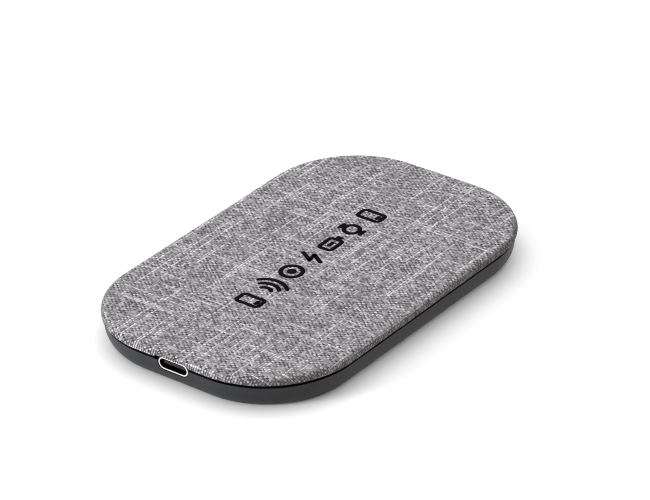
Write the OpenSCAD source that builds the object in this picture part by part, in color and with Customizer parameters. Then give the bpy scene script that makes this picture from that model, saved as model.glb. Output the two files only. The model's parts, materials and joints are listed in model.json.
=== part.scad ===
// Low, rounded charging pad: a cloth-covered top shell screwed to a bowl-shaped tray,
// with a flat coil, its magnetic shield and a small circuit board inside.
// The pad lies on the XY plane. +Y is its long axis, away from the cable socket, and +Z is up.
// Edge profiles are lists of [inset, z]: inset is the distance inwards from the widest outline.

/* [Pad] */
// Length over the cloth, along Y
pad_length = 110; // [106:1:118]
// Width over the cloth, along X
pad_width = 70; // [68:1:76]
// Height from the table to the top of the cloth
pad_height = 9; // [9:0.1:9.6]
// Radius of the four corners, seen from above
corner_radius = 24.5; // [23:0.5:26]

/* [Cloth cover] */
// Thickness of the woven cloth
cloth_thickness = 0.4; // [0.3:0.05:0.4]
// Radius of the cloth's upper edge
cloth_edge_radius = 1.6; // [1.5:0.05:1.6]
// Radius of the cloth's lower edge, where it turns under
cloth_fold_radius = 0.3; // [0.2:0.05:0.3]
// How far the hem reaches in under the top shell
hem_width = 2.5; // [2:0.1:2.5]
// Thickness of the double-sided film under the cloth
film_thickness = 0.1; // [0.05:0.01:0.1]

/* [Shells] */
// Thickness of the top shell behind the hem
plate_thickness = 1.15; // [1:0.05:1.15]
// Height of the tray's underside above the table
tray_clearance = 0.4; // [0.3:0.1:0.5]
// Thickness of the tray's floor
floor_thickness = 1.2; // [1:0.1:1.2]
// Thickness of the tray's side wall
wall_thickness = 1.5; // [1.2:0.1:1.5]
// Height of the tray's rim above the table
rim_height = 6.1; // [6:0.1:6.3]
// How far the tray's rim stands in from the cloth
rim_inset = 0.6; // [0.5:0.1:0.8]
// Radius of the tray's bowl-shaped side
bowl_radius = 6; // [5.6:0.1:6.4]
// Height at which the tray's side becomes upright
bowl_top = 5; // [4.8:0.1:5.2]
// Thickness of the top shell's locating skirt
skirt_thickness = 1; // [0.8:0.1:1.2]
// Lower edge of the skirt
skirt_bottom = 5.2; // [5:0.1:5.6]

/* [Coil] */
// Diameter of the opening in the coil
coil_inner_diameter = 20.5; // [19:0.5:21]
// Outer diameter of the litz wire
wire_diameter = 1.1; // [1:0.05:1.1]
// Distance from one turn to the next
coil_pitch = 1.17; // [1.15:0.01:1.2]
// Half turns before the last quarter turn
coil_half_turns = 19; // [17:2:19]
// Side of the square ferrite plate
ferrite_size = 50; // [48:1:50]
// Thickness of the ferrite plate
ferrite_thickness = 1.2; // [1.15:0.05:1.2]
// Side of the square foam pad
foam_size = 44; // [42:1:46]
// Thickness of the foam pad, pressed
foam_thickness = 0.8; // [0.6:0.1:1]

/* [Circuit board] */
// Board width, along X
board_width = 33.6; // [32:0.2:34]
// Front edge of the board, at the socket
board_front = -52; // [-52:0.1:-51.6]
// Rear edge of the board, beside the ferrite
board_rear = -27.5; // [-28:0.1:-27]
// Thickness of the board
board_thickness = 1; // [0.8:0.1:1]

/* [Socket] */
// Width over the receptacle's shell
socket_width = 8.94; // [8.94:0.01:8.94]
// Height over the receptacle's shell
socket_height = 3.16; // [3.16:0.01:3.16]
// Length of the receptacle's shell
socket_length = 7.35; // [7.3:0.05:7.9]
// Thickness of the shell's sheet metal
socket_wall = 0.3; // [0.25:0.01:0.3]
// Height of the socket's axis above the table
socket_z = 5.7; // [5.6:0.05:5.7]
// How far the socket's mouth stands in from the cloth
socket_inset = 0.75; // [0.65:0.05:1]
// Gap between the shell and the tray all round
socket_gap = 0.25; // [0.2:0.05:0.3]
// Gap between the shell and the cloth and plate round it
cloth_gap = 0.4; // [0.3:0.05:0.4]

/* [Feet and screws] */
// Foot centres, measured across the pad
foot_spacing_x = 41; // [39:1:42]
// Foot centres, measured along the pad
foot_spacing_y = 79; // [76:1:80]
// Diameter of a rubber foot
foot_diameter = 10; // [9:0.5:10]
// Thickness of a rubber foot
foot_thickness = 1; // [0.9:0.1:1.1]
// Thread diameter of the case screws
screw_diameter = 2; // [1.8:0.1:2]
// Length of the case screws under the head
screw_length = 4; // [3.5:0.5:4]

/* [Hidden] */
$fn = 64;

// Overlap given to cutting tools so that they break through a face
cut = 0.5;
// How deep ribs and bosses are rooted in the wall that they stand on
root = 0.1;

// Straight half-lengths of the outline, between the corner centres
core_x = pad_width / 2 - corner_radius;
core_y = pad_length / 2 - corner_radius;

// Levels of the cloth and the top shell, from the top down
edge_centre_z = pad_height - cloth_edge_radius;
hem_bottom = edge_centre_z - cloth_fold_radius;
hem_top = hem_bottom + cloth_thickness;
cloth_underside = pad_height - cloth_thickness;
plate_top = cloth_underside - film_thickness;
hem_land = hem_top + film_thickness;
plate_bottom = plate_top - plate_thickness;
skirt_inset = hem_width + 0.1;

// Levels of the tray
tray_bottom = tray_clearance;
floor_top = tray_bottom + floor_thickness;
cavity_radius = bowl_radius - wall_thickness;
cavity_inset = rim_inset + wall_thickness;
bottom_edge_radius = 0.3;
rim_flat = 0.25;
rim_drop = 0.8;

// Levels of the coil stack, from the plate down
coil_film = 0.15;
coil_top = plate_bottom - coil_film;
coil_z = coil_top - wire_diameter / 2;
ferrite_top = coil_top - wire_diameter;
ferrite_bottom = ferrite_top - ferrite_thickness;
foam_bottom = ferrite_bottom - foam_thickness;
ferrite_corner = 2;
ferrite_slot_left = -0.9;
ferrite_slot_right = 2.7;
ferrite_slot_end = 8;
coil_start_radius = coil_inner_diameter / 2 + wire_diameter / 2;
coil_shift = coil_pitch / 4;
coil_end_radius = coil_start_radius + coil_shift + coil_half_turns * coil_pitch / 2;

// Socket and board
socket_face = -pad_length / 2 + socket_inset;
board_top = socket_z - socket_height / 2;
board_bottom = board_top - board_thickness;
board_corner = 6;
board_hole_x = 13.6;
board_hole_y = -31;
board_hole_radius = 1.1;
standoff_radius = 2.4;
tab_width = 0.9;
tab_places = [3.2, 6.4];
tongue_width = 6.69;
tongue_thickness = 0.7;
tongue_recess = 0.75;
contact_pitch = 0.5;
contact_count = 12;
contact_width = 0.25;
contact_thickness = 0.1;

// Feet, screws and their bosses
foot_recess = 0.6;
head_radius = 1.9;
head_height = 1;
head_seat = 2.2;
boss_bottom = 3.2;
tray_boss_radius = 3.2;
shell_boss_radius = 2.6;
screw_pilot_radius = screw_diameter / 2 - 0.15;
screw_clearance_radius = screw_diameter / 2 + 0.2;

// Ribs on the tray floor below the foam
rib_width = 1.2;
rib_ring_radius = 20;

// Pads on the board for the four leads, [x, y]
coil_pads = [[-13.2, -36.4], [-1.6, -31.6]];
sensor_pads = [[2.6, -30.4], [4.8, -30.4]];
lead_diameter = 1;
sensor_wire = 0.5;
sensor_wires_x = [1.25, 2];
bead_diameter = 1.1;
joint_radius = 1;

// Surface-mounted parts: centre [x, y], size [x, y, z]
resistor_size = [0.8, 1.6, 0.5];
resonant_size = [3.2, 1.6, 1.6];
input_size = [3.2, 2.5, 2];
controller_size = [5, 5, 0.85];
port_chip_size = [3, 3, 0.75];
mosfet_size = [3.3, 3.3, 0.8];
inductor_size = [4.2, 4.2, 2];
terminal_length = 0.45;
terminal_skin = 0.06;

controller_place = [3.2, -39.6];
port_chip_place = [-3.6, -43.2];
mosfet_places = [[-8.6, -38.4], [-4.2, -38.4]];
inductor_place = [10.6, -44.4];
resonant_places = [for (row = [0:3]) [9.2 + row % 2 * 4, -35.4 - floor(row / 2) * 2.4]];
input_places = [for (row = [0:2]) [-11.2, -48.4 + row * 3.1]];
resistor_places = concat(
    [for (i = [0:4]) [-2.4 + i * 1.6, -34.6]],
    [for (i = [0:3]) [7.2, -42.6 - i * 2.2]]
);

// Points of an arc in a profile: centre [inset, z], angle 0 points outwards, 90 up
function arc(centre, r, from, to, steps) =
    [for (i = [0:steps]) let (a = from + (to - from) * i / steps)
        [centre[0] - r * cos(a), centre[1] + r * sin(a)]];

// ---- Shapes that follow the pad's outline ----

// One profile as a section, with its distance from a corner's axis as x
module section(profile) {
    polygon([for (p = profile) [corner_radius - p[0], p[1]]]);
}

// A profile carried along one straight side of the given half-length
module side_run(half_length, distance, profile) {
    translate([distance, half_length, 0])
        rotate([90, 0, 0])
            linear_extrude(2 * half_length)
                section(profile);
}

// A profile carried all the way round the outline
module rim_sweep(profile) {
    for (quarter = [0:3]) {
        sx = quarter == 0 || quarter == 3 ? 1 : -1;
        sy = quarter < 2 ? 1 : -1;
        translate([sx * core_x, sy * core_y, 0])
            rotate([0, 0, quarter * 90])
                rotate_extrude(angle = 90)
                    section(profile);
    }
    for (turn = [0, 180]) {
        rotate([0, 0, turn])
            side_run(core_y, core_x, profile);
        rotate([0, 0, turn + 90])
            side_run(core_x, core_y, profile);
    }
}

// The same for a profile that reaches the corner's axis, with the middle filled in
module disc_sweep(profile, low, high) {
    rim_sweep(profile);
    translate([-core_x, -core_y, low])
        cube([2 * core_x, 2 * core_y, high - low]);
}

// ---- Small helpers ----

// Rectangle with rounded corners, centred, as an upright block
module rounded_block(size, r, low, high) {
    translate([0, 0, low])
        linear_extrude(high - low) {
            square([size[0] - 2 * r, size[1]], center = true);
            square([size[0], size[1] - 2 * r], center = true);
            for (x = [-1, 1], y = [-1, 1])
                translate([x * (size[0] / 2 - r), y * (size[1] / 2 - r)])
                    circle(r);
        }
}

// Block standing on a level, centred on a place
module part_block(place, size, low) {
    translate([place[0] - size[0] / 2, place[1] - size[1] / 2, low])
        cube(size);
}

// Upright cylinder between two levels
module post(place, r, low, high) {
    translate([place[0], place[1], low])
        cylinder(r = r, h = high - low);
}

// A route with its corners cut twice over, so that a wire bends softly
function soften(route, passes = 2) =
    passes == 0 ? route : soften(
        concat(
            [route[0]],
            [for (i = [0:len(route) - 2], t = [0.25, 0.75]) route[i] * (1 - t) + route[i + 1] * t],
            [route[len(route) - 1]]
        ),
        passes - 1
    );

function unit(v) = v / norm(v);

// Direction of a route at point i
function heading(route, i) =
    unit(route[min(i + 1, len(route) - 1)] - route[max(i - 1, 0)]);

// Round wire along a softened route that never runs along X
module wire(points, d) {
    sides = 8;
    route = soften(points);
    last = len(route) - 1;
    rings = [for (i = [0:last], k = [0:sides - 1])
        let (
            ahead = heading(route, i),
            up = unit(cross(ahead, [1, 0, 0])),
            across = cross(up, ahead),
            a = 360 * k / sides
        )
        route[i] + d / 2 * (cos(a) * across + sin(a) * up)];
    walls = [for (i = [0:last - 1], k = [0:sides - 1])
        let (next = (k + 1) % sides)
        [i * sides + k, (i + 1) * sides + k, (i + 1) * sides + next, i * sides + next]];
    start_cap = [for (k = [0:sides - 1]) k];
    end_cap = [for (k = [sides - 1:-1:0]) last * sides + k];
    polyhedron(rings, concat(walls, [start_cap, end_cap]));
}

// Flat-sided slot with round ends, lying along Y: the receptacle's own outline
module socket_outline(grow, front, rear) {
    r = socket_height / 2 + grow;
    half = socket_width / 2 + grow - r;
    translate([0, rear, socket_z])
        rotate([90, 0, 0])
            linear_extrude(rear - front) {
                square([2 * half, 2 * r], center = true);
                for (x = [-half, half])
                    translate([x, 0])
                        circle(r);
            }
}

// Room round the receptacle's mouth, cut from the cloth, its film and the plate
module mouth_notch() {
    socket_outline(cloth_gap, -pad_length / 2 - cut, -pad_length / 2 + hem_width + cut);
}

// The four places of a foot and its screw
module at_feet() {
    for (x = [-1, 1], y = [-1, 1])
        translate([x * foot_spacing_x / 2, y * foot_spacing_y / 2, 0])
            children();
}

// ---- Cloth and its film ----

module fabric_cover() {
    top = pad_height;
    outer = concat(
        [[corner_radius, top]],
        arc([cloth_edge_radius, edge_centre_z], cloth_edge_radius, 90, 0, 8),
        arc([cloth_fold_radius, edge_centre_z], cloth_fold_radius, -15, -90, 5)
    );
    inner = concat([[hem_width, hem_bottom], [hem_width, hem_top]], cloth_seat());
    color("darkgray")
        difference() {
            disc_sweep(concat(outer, inner), cloth_underside, top);
            mouth_notch();
        }
}

// Inner face of the cloth, from the hem round the edge to the middle
function cloth_seat() =
    let (r = cloth_edge_radius - cloth_thickness, rise = hem_top - edge_centre_z)
    concat(
        arc([cloth_edge_radius, edge_centre_z], r, asin(rise / r), 90, 6),
        [[corner_radius, cloth_underside]]
    );

// Outer face of the plate, from the hem's land round the edge to the middle
function plate_edge() =
    let (r = cloth_edge_radius - cloth_thickness - film_thickness, rise = hem_land - edge_centre_z)
    concat(
        arc([cloth_edge_radius, edge_centre_z], r, asin(rise / r), 90, 6),
        [[corner_radius, plate_top]]
    );

module fabric_adhesive() {
    edge = plate_edge();
    back = [for (i = [len(edge) - 1:-1:0]) edge[i]];
    color("whitesmoke")
        difference() {
            disc_sweep(
                concat([[hem_width, hem_land], [hem_width, hem_top]], cloth_seat(), back),
                plate_top,
                cloth_underside
            );
            mouth_notch();
        }
}

// ---- Shells ----

module top_shell() {
    plate = concat(
        [[corner_radius, plate_bottom], [skirt_inset, plate_bottom], [skirt_inset, hem_land]],
        plate_edge()
    );
    skirt = [
        [skirt_inset, skirt_bottom],
        [skirt_inset, plate_bottom + root],
        [skirt_inset + skirt_thickness, plate_bottom + root],
        [skirt_inset + skirt_thickness, skirt_bottom]
    ];
    color("dimgray")
        difference() {
            union() {
                disc_sweep(plate, plate_bottom, plate_top);
                rim_sweep(skirt);
                at_feet()
                    post([0, 0], shell_boss_radius, boss_bottom, plate_bottom + root);
                ferrite_locators();
            }
            at_feet()
                post([0, 0], screw_pilot_radius, boss_bottom - cut, boss_bottom + screw_length);
            skirt_notch();
            mouth_notch();
        }
}

// Angle ribs under the plate that hold the ferrite's corners
module ferrite_locators() {
    rib = 1;
    reach = 2;
    gap = 0.25;
    edge = ferrite_size / 2 + gap;
    high = plate_bottom + root;
    for (turn = [0, 180], flip = [0, 1])
        rotate([0, 0, turn])
            mirror([flip, 0, 0]) {
                translate([edge - reach, edge, ferrite_bottom])
                    cube([reach + rib, rib, high - ferrite_bottom]);
                translate([edge, edge - reach, ferrite_bottom])
                    cube([rib, reach + rib, high - ferrite_bottom]);
            }
}

// Way through the skirt for the receptacle
module skirt_notch() {
    half = socket_width / 2 + socket_gap;
    translate([-half, -pad_length / 2, skirt_bottom - cut])
        cube([2 * half, 2 * skirt_inset + skirt_thickness, plate_bottom - skirt_bottom + cut]);
}

module bottom_tray() {
    edge_z = tray_bottom + bottom_edge_radius;
    lowest = asin((bowl_top - edge_z) / (bowl_radius - bottom_edge_radius));
    edge_inset = rim_inset + bowl_radius - (bowl_radius - bottom_edge_radius) * cos(lowest);
    inner_lowest = asin((bowl_top - floor_top) / cavity_radius);
    shell = concat(
        [[corner_radius, tray_bottom]],
        arc([edge_inset, edge_z], bottom_edge_radius, -90, -lowest - 10, 3),
        arc([rim_inset + bowl_radius, bowl_top], bowl_radius, -lowest, 0, 10),
        [
            [rim_inset, rim_height],
            [rim_inset + rim_flat, rim_height],
            [cavity_inset, rim_height - rim_drop]
        ],
        arc([cavity_inset + cavity_radius, bowl_top], cavity_radius, 0, -inner_lowest, 8),
        [[corner_radius, floor_top]]
    );
    color("dimgray")
        difference() {
            union() {
                disc_sweep(shell, tray_bottom, floor_top);
                at_feet()
                    post([0, 0], tray_boss_radius, floor_top - root, boss_bottom);
                for (x = [-1, 1])
                    post([x * board_hole_x, board_hole_y], standoff_radius,
                        floor_top - root, board_bottom);
                foam_ribs();
            }
            at_feet() {
                post([0, 0], foot_diameter / 2 + 0.1, tray_bottom - cut, tray_bottom + foot_recess);
                post([0, 0], head_radius + 0.2, tray_bottom, head_seat);
                post([0, 0], screw_clearance_radius, head_seat - cut, boss_bottom + cut);
            }
            for (x = [-1, 1])
                post([x * board_hole_x, board_hole_y], screw_pilot_radius - 0.1,
                    floor_top - 0.6, board_bottom + cut);
            port_notch();
        }
}

// Ring and crossing ribs that carry the foam
module foam_ribs() {
    low = floor_top - root;
    high = foam_bottom;
    difference() {
        post([0, 0], rib_ring_radius, low, high);
        post([0, 0], rib_ring_radius - rib_width, low - cut, high + cut);
    }
    for (turn = [45, 135])
        rotate([0, 0, turn])
            part_block([0, 0], [2 * rib_ring_radius - rib_width, rib_width, high - low], low);
}

// Opening in the tray's wall, open upwards to the gap below the cloth
module port_notch() {
    half = socket_width / 2 + socket_gap;
    front = -pad_length / 2 - cut;
    rear = -pad_length / 2 + cavity_inset + 2;
    socket_outline(socket_gap, front, rear);
    translate([-half, front, socket_z])
        cube([2 * half, rear - front, rim_height - socket_z + cut]);
}

// ---- Coil stack ----

module coil_adhesive() {
    color("gold")
        difference() {
            post([0, 0], coil_end_radius + wire_diameter / 2, coil_top, plate_bottom);
            post([0, 0], coil_inner_diameter / 2, coil_top - cut, plate_bottom + cut);
        }
}

// Flat spiral of half rings on two centres: each half turn is half a pitch wider than the last
module transmitter_coil() {
    color("peru")
        translate([0, 0, coil_z])
            rotate([0, 0, -90]) {
                for (i = [0:coil_half_turns - 1])
                    spiral_arc(i, 180);
                spiral_arc(coil_half_turns, 90);
            }
}

// Stretch number i of the spiral, through the given angle
module spiral_arc(i, sweep) {
    side = i % 2 == 0 ? -1 : 1;
    translate([side * coil_shift, 0, 0])
        rotate([0, 0, i * 180])
            rotate_extrude(angle = sweep)
                translate([coil_start_radius + coil_shift + i * coil_pitch / 2, 0])
                    circle(d = wire_diameter);
}

// Inner end: down through the ferrite's slot. Outer end: straight back over the ferrite's edge.
module coil_leads() {
    slot_z = (ferrite_bottom + ferrite_top) / 2;
    pad_z = board_top + lead_diameter / 2;
    edge_y = -ferrite_size / 2;
    inner = [
        [0, -coil_start_radius, ferrite_top],
        [0, -coil_start_radius, slot_z],
        [0, -coil_start_radius - 1, slot_z],
        [0, edge_y, slot_z],
        [0, edge_y - 1, slot_z],
        [coil_pads[1][0] / 2, edge_y - 3.6, pad_z],
        [coil_pads[1][0], coil_pads[1][1], pad_z]
    ];
    outer = [
        [-coil_end_radius, -coil_shift, coil_z],
        [-coil_end_radius, edge_y, coil_z],
        [-coil_end_radius, edge_y - 1, coil_z],
        [2 - coil_end_radius, edge_y - 4, pad_z + 0.6],
        [-board_width / 2 + 0.8, edge_y - 8.2, pad_z],
        [coil_pads[0][0], coil_pads[0][1], pad_z]
    ];
    color("darkgoldenrod") {
        wire(inner, lead_diameter);
        wire(outer, lead_diameter);
    }
}

module ferrite_shield() {
    slot = [
        ferrite_slot_right - ferrite_slot_left,
        ferrite_size / 2 - ferrite_slot_end + cut,
        ferrite_thickness + 2 * cut
    ];
    color("darkslategray")
        difference() {
            rounded_block([ferrite_size, ferrite_size], ferrite_corner, ferrite_bottom, ferrite_top);
            translate([ferrite_slot_left, -ferrite_size / 2 - cut, ferrite_bottom - cut])
                cube(slot);
        }
}

module foam_pad() {
    color("gray")
        rounded_block([foam_size, foam_size], ferrite_corner, foam_bottom, ferrite_bottom);
}

module thermistor() {
    color("black")
        translate([(sensor_wires_x[0] + sensor_wires_x[1]) / 2, 0, coil_top - bead_diameter / 2])
            sphere(d = bead_diameter);
}

module thermistor_leads() {
    bead_z = coil_top - bead_diameter / 2;
    slot_z = ferrite_bottom + sensor_wire;
    pad_z = board_top + sensor_wire / 2;
    edge_y = -ferrite_size / 2;
    slot_y = -ferrite_slot_end;
    color("white")
        for (i = [0, 1]) {
            x = sensor_wires_x[i];
            pad = sensor_pads[i];
            wire([
                [x, -bead_diameter / 2, bead_z],
                [x, slot_y + 1.5, bead_z],
                [x, slot_y + 0.5, bead_z],
                [x, slot_y - 2, slot_z],
                [x, slot_y - 3, slot_z],
                [x, edge_y, slot_z],
                [x, edge_y - 1, slot_z],
                [pad[0], edge_y - 3.2, pad_z],
                [pad[0], pad[1], pad_z]
            ], sensor_wire);
        }
}

// ---- Circuit board ----

module main_board() {
    centre_y = (board_front + board_rear) / 2;
    length = board_rear - board_front;
    color("darkgreen")
        difference() {
            translate([0, centre_y, 0])
                rounded_block([board_width, length], board_corner, board_bottom, board_top);
            for (x = [-1, 1])
                post([x * board_hole_x, board_hole_y], board_hole_radius,
                    board_bottom - cut, board_top + cut);
            for (x = [-1, 1], y = tab_places)
                part_block([x * (socket_width - socket_wall) / 2, socket_face + y],
                    [0.7, tab_width + 0.3, board_thickness + 2 * cut], board_bottom - cut);
        }
}

module usb_shell() {
    rear = socket_face + socket_length;
    color("silver") {
        difference() {
            socket_outline(0, socket_face, rear);
            socket_outline(-socket_wall, socket_face - cut, rear - socket_wall);
        }
        for (x = [-1, 1], y = tab_places)
            part_block([x * (socket_width - socket_wall) / 2, socket_face + y],
                [socket_wall, tab_width, socket_z - board_bottom + 0.5], board_bottom - 0.5);
    }
}

// Insulator: a block that fills the rear of the shell, with the tongue standing out of it
module usb_tongue() {
    rear = socket_face + socket_length - socket_wall;
    block_front = rear - 1.8;
    front = socket_face + tongue_recess;
    color("black") {
        socket_outline(-socket_wall, block_front, rear);
        translate([-tongue_width / 2, front, socket_z - tongue_thickness / 2])
            cube([tongue_width, block_front - front + cut, tongue_thickness]);
    }
}

module usb_contacts() {
    front = socket_face + tongue_recess + 0.4;
    length = 3.4;
    rear = socket_face + socket_length;
    color("goldenrod")
        for (i = [0:contact_count - 1]) {
            x = (i - (contact_count - 1) / 2) * contact_pitch;
            for (side = [-1, 1]) {
                z = socket_z + side * (tongue_thickness + contact_thickness) / 2;
                translate([x - contact_width / 2, front, z - contact_thickness / 2])
                    cube([contact_width, length, contact_thickness]);
            }
            translate([x - contact_width / 2, rear, board_top])
                cube([contact_width, 0.8, 0.15]);
        }
}

module controller_chip() {
    color("black")
        chip(controller_place, controller_size);
}

module port_chip() {
    color("black")
        chip(port_chip_place, port_chip_size);
}

module bridge_mosfets() {
    color("black")
        for (place = mosfet_places)
            chip(place, mosfet_size);
}

// Flat package with the round mark of its first terminal
module chip(place, size) {
    difference() {
        part_block(place, size, board_top);
        post([place[0] - size[0] / 2 + 0.7, place[1] + size[1] / 2 - 0.7], 0.3,
            board_top + size[2] - 0.08, board_top + size[2] + cut);
    }
}

// Rows of terminals along the sides of the flat packages
module chip_terminals() {
    color("lightgray") {
        terminal_rows(controller_place, controller_size, 7, 0.5, [0:3]);
        terminal_rows(port_chip_place, port_chip_size, 4, 0.5, [0:3]);
        for (place = mosfet_places)
            terminal_rows(place, mosfet_size, 4, 0.65, [0, 2]);
    }
}

// Terminals on the chosen sides of one package, numbered by quarter turns from +X
module terminal_rows(place, size, count, pitch, sides) {
    out = 0.25;
    for (side = sides, i = [0:count - 1])
        translate([place[0], place[1], board_top])
            rotate([0, 0, side * 90])
                translate([size[0] / 2, (i - (count - 1) / 2) * pitch - pitch / 4, 0])
                    cube([out, pitch / 2, 0.2]);
}

module resonant_capacitors() {
    color("burlywood")
        for (place = resonant_places)
            part_block(place, resonant_size, board_top);
}

module input_capacitors() {
    color("tan")
        for (place = input_places)
            part_block(place, input_size, board_top);
}

module chip_resistors() {
    color("black")
        for (place = resistor_places)
            part_block(place, resistor_size, board_top);
}

module filter_inductor() {
    color("slategray")
        translate([inductor_place[0], inductor_place[1], 0])
            rounded_block([inductor_size[0], inductor_size[1]], 0.8, board_top, board_top + inductor_size[2]);
}

// Metal ends of the ceramic parts: along X on capacitors, along Y on resistors
module component_terminals() {
    color("lightgray") {
        for (place = resonant_places)
            end_caps(place, resonant_size, 0);
        for (place = input_places)
            end_caps(place, input_size, 0);
        for (place = resistor_places)
            end_caps(place, resistor_size, 1);
    }
}

// Two open caps that sleeve the ends of one block
module end_caps(place, size, along) {
    grown = size + 2 * terminal_skin * [1, 1, 0.5];
    middle = along == 0
        ? [size[0] - 2 * terminal_length, grown[1] + cut, grown[2] + cut]
        : [grown[0] + cut, size[1] - 2 * terminal_length, grown[2] + cut];
    difference() {
        part_block(place, grown, board_top);
        part_block(place, middle, board_top - cut / 2);
        part_block(place, size, board_top);
    }
}

// Cones of solder that the ends of the leads run into
module solder_joints() {
    color("silver")
        difference() {
            for (place = concat(coil_pads, sensor_pads))
                translate([place[0], place[1], board_top])
                    cylinder(r1 = joint_radius, r2 = joint_radius / 2, h = 1.2 * lead_diameter);
            coil_leads();
            thermistor_leads();
        }
}

// ---- Screws and feet ----

// Pan-head screw, pointing up from its seat, with a cross recess
module screw(seat, length, r, head_r, head_h) {
    difference() {
        union() {
            translate([0, 0, seat - head_h])
                cylinder(r = head_r, h = head_h);
            translate([0, 0, seat])
                cylinder(r = r, h = length - r);
            translate([0, 0, seat + length - r])
                cylinder(r1 = r, r2 = r / 2, h = r);
        }
        for (turn = [0, 90])
            rotate([0, 0, turn])
                part_block([0, 0], [head_r, 0.35, 0.5 + cut], seat - head_h - cut);
    }
}

module case_screws() {
    color("silver")
        at_feet()
            screw(head_seat, screw_length, screw_pilot_radius, head_radius, head_height);
}

// Screws that point down through the board into the tray's standoffs
module board_screws() {
    color("silver")
        for (x = [-1, 1])
            translate([x * board_hole_x, board_hole_y, board_top])
                mirror([0, 0, 1])
                    screw(0, 2, screw_pilot_radius - 0.1, head_radius - 0.1, 0.8);
}

// Rubber foot with a softened lower edge, seated in the tray's recess
module foot(x, y) {
    edge = 0.25;
    color("black")
        translate([x * foot_spacing_x / 2, y * foot_spacing_y / 2, 0])
            rotate_extrude()
                polygon([
                    [0, 0],
                    [foot_diameter / 2 - edge, 0],
                    [foot_diameter / 2, edge],
                    [foot_diameter / 2, foot_thickness],
                    [0, foot_thickness]
                ]);
}

module foot_front_left() {
    foot(-1, -1);
}

module foot_front_right() {
    foot(1, -1);
}

module foot_rear_left() {
    foot(-1, 1);
}

module foot_rear_right() {
    foot(1, 1);
}

fabric_cover();
fabric_adhesive();
top_shell();
bottom_tray();
coil_adhesive();
transmitter_coil();
coil_leads();
ferrite_shield();
foam_pad();
thermistor();
thermistor_leads();
main_board();
usb_shell();
usb_tongue();
usb_contacts();
controller_chip();
port_chip();
bridge_mosfets();
chip_terminals();
resonant_capacitors();
input_capacitors();
filter_inductor();
chip_resistors();
component_terminals();
solder_joints();
board_screws();
case_screws();
foot_front_left();
foot_front_right();
foot_rear_left();
foot_rear_right();
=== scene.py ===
import json
import math

import bpy
import numpy as np
from mathutils import Matrix, Vector


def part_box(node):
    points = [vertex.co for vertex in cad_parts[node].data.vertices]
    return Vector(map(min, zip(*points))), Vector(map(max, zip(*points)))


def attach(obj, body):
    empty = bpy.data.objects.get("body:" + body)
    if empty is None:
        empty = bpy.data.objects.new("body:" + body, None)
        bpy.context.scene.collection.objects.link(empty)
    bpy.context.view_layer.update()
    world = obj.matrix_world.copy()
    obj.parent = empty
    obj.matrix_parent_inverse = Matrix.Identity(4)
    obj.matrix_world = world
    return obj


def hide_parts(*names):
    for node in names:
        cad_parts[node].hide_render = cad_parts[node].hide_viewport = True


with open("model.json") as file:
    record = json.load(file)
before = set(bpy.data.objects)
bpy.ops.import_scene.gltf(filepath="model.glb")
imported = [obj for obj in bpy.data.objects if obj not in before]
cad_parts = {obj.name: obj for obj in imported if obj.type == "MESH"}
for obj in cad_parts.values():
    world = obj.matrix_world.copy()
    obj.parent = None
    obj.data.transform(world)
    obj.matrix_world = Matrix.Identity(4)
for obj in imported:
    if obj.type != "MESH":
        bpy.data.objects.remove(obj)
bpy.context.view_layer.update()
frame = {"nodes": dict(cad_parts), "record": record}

mm = 0.001
nodes = frame["nodes"]
scene = bpy.context.scene
print("frame loaded:", len(nodes), "nodes")

# Camera: azimuth 0 looks along +Y, roll turns the picture, and target is the point on the table in
# its middle; lens and sensor are in mm
cameraView = {
    "azimuth": 38.355, "elevation": 29.896, "roll": -1.809,
    "distance": 900.5 * mm, "target": (-10.29 * mm, 18.1 * mm, 0.0),
    "lens": 197.147, "sensor": 36.0,
}


def makeCamera(view):
    azimuth, elevation = math.radians(view["azimuth"]), math.radians(view["elevation"])
    back = Vector((
        math.sin(azimuth) * math.cos(elevation),
        -math.cos(azimuth) * math.cos(elevation),
        math.sin(elevation),
    ))
    data = bpy.data.cameras.new("camera")
    data.sensor_width = view["sensor"]
    data.lens = view["lens"]
    data.clip_start = 0.01
    camera = bpy.data.objects.new("camera", data)
    camera.rotation_mode = "QUATERNION"
    tilt = Matrix.Rotation(math.radians(view["roll"]), 3, "Z").to_quaternion()
    camera.rotation_quaternion = back.to_track_quat("Z", "Y") @ tilt
    camera.location = Vector(view["target"]) + back * view["distance"]
    scene.collection.objects.link(camera)
    scene.camera = camera


makeCamera(cameraView)

studio = {
    "world": 0.9,
    "keyPower": 8.0, "keySize": 1.7, "keyPlace": (-0.2, 0.35, 1.3),
    "fillPower": 24.0, "fillSize": 0.5, "fillPlace": (-0.8, -1.3, 0.3),
    "floorSize": 3.0, "floorTone": 0.93, "floorRoughness": 0.9,
}


def areaLight(name, place, size, power):
    data = bpy.data.lights.new(name, "AREA")
    data.shape = "DISK"
    data.size = size
    data.energy = power
    light = bpy.data.objects.new(name, data)
    light.location = place
    light.rotation_mode = "QUATERNION"
    light.rotation_quaternion = Vector(place).to_track_quat("Z", "Y")
    scene.collection.objects.link(light)


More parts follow.
